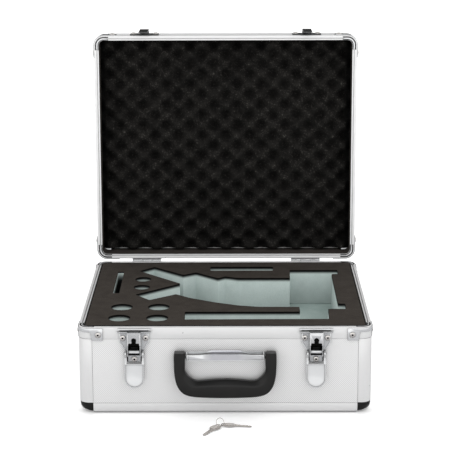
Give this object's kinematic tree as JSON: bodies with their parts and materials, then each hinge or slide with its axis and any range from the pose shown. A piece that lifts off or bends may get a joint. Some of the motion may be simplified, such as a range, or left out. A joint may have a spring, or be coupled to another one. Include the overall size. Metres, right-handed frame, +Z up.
{
  "type": "aluminum attache case",
  "caption": "Aluminium-framed attache case with a hinged lid, drop handle, key latches and a foam insert cut for instruments.",
  "frame": {"origin": "centre of the case's underside, on the surface it stands on", "axes": "+Z up, -Y out of the front with the latches, +X to the right seen from the front"},
  "size_m": [0.4426, 0.5392, 0.5318],
  "materials": {
    "panel_skin": "fine diamond-textured laminate, satin",
    "extrusion": "satin anodised extrusion with fine grooves",
    "chrome": "polished plated steel",
    "pin_steel": "turned steel",
    "lock_dark": "dark lock face",
    "black_plastic": "satin black moulded plastic",
    "foam_cover": "dark closed-cell foam sheet, matt",
    "foam_core": "pale grey-green foam, matt",
    "foam_black": "black convoluted foam, matt",
    "key_nickel": "nickel-plated stamped metal"
  },
  "bodies": {
    "base": {"base_ball_corner_front_left": "black_plastic", "base_ball_corner_front_right": "black_plastic", "base_ball_corner_rear_left": "black_plastic", "base_ball_corner_rear_right": "black_plastic", "base_floor_panel": "panel_skin", "base_front_panel": "panel_skin", "base_front_rail": "extrusion", "base_left_panel": "panel_skin", "base_left_rail": "extrusion", "base_post_front_left": "extrusion", "base_post_front_right": "extrusion", "base_post_rear_left": "extrusion", "base_post_rear_right": "extrusion", "base_rear_panel": "panel_skin", "base_rear_rail": "extrusion", "base_right_panel": "panel_skin", "base_right_rail": "extrusion", "base_rim": "extrusion", "base_rim_bracket_front_left": "chrome", "base_rim_bracket_front_right": "chrome", "base_rim_bracket_rear_left": "chrome", "base_rim_bracket_rear_right": "chrome", "foam_bottom_layer": "foam_core", "foam_cover_sheet": "foam_cover", "foam_cut_layer": "foam_core", "handle_bracket": "chrome", "handle_pivot_rod": "pin_steel", "hinge_base_leaf_left": "chrome", "hinge_base_leaf_right": "chrome", "hinge_pin_left": "pin_steel", "hinge_pin_right": "pin_steel", "latch_plate_left": "chrome", "latch_plate_right": "chrome"},
    "handle": {"handle_grip": "black_plastic"},
    "latch_lever_left": {"latch_lever_left": "chrome", "latch_claw_shaft_left": "pin_steel"},
    "latch_lever_right": {"latch_lever_right": "chrome", "latch_claw_shaft_right": "pin_steel"},
    "lock_left": {"lock_barrel_left": "lock_dark"},
    "lock_right": {"lock_barrel_right": "lock_dark"},
    "lid": {"hinge_lid_leaf_left": "chrome", "hinge_lid_leaf_right": "chrome", "lid_catch_left": "chrome", "lid_catch_right": "chrome", "lid_corner_front_left": "chrome", "lid_corner_front_right": "chrome", "lid_corner_rear_left": "chrome", "lid_corner_rear_right": "chrome", "lid_egg_crate_foam": "foam_black", "lid_front_wall": "extrusion", "lid_left_wall": "extrusion", "lid_outer_panel": "panel_skin", "lid_rear_wall": "extrusion", "lid_right_wall": "extrusion", "lid_rim": "extrusion"},
    "keys": {"key_a": "key_nickel", "key_b": "key_nickel", "key_ring": "key_nickel"}
  },
  "joints": [
    {"name": "lid_hinge", "type": "hinge", "parent": "base", "child": "lid", "pos_m": [0, 0.1945, 0.1362], "axis": [1, 0, 0], "range_deg": [0, 91.5]},
    {"name": "handle_swing", "type": "hinge", "parent": "base", "child": "handle", "pos_m": [0, -0.201, 0.0925], "axis": [-1, 0, 0], "range_deg": [0, 90]},
    {"name": "latch_lift_left", "type": "hinge", "parent": "base", "child": "latch_lever_left", "pos_m": [-0.136, -0.1975, 0.097], "axis": [-1, 0, 0], "range_deg": [-6, 22]},
    {"name": "latch_lift_right", "type": "hinge", "parent": "base", "child": "latch_lever_right", "pos_m": [0.136, -0.1975, 0.097], "axis": [-1, 0, 0], "range_deg": [-6, 22]},
    {"name": "lock_turn_left", "type": "hinge", "parent": "base", "child": "lock_left", "pos_m": [-0.136, -0.2044, 0.1165], "axis": [0, 1, 0], "range_deg": [0, 90]},
    {"name": "lock_turn_right", "type": "hinge", "parent": "base", "child": "lock_right", "pos_m": [0.136, -0.2044, 0.1165], "axis": [0, 1, 0], "range_deg": [0, 90]},
    {"name": "keys_lift_off", "type": "slide", "parent": "base", "child": "keys", "axis": [0, 0, 1], "range_m": [0, 0.3]}
  ]
}
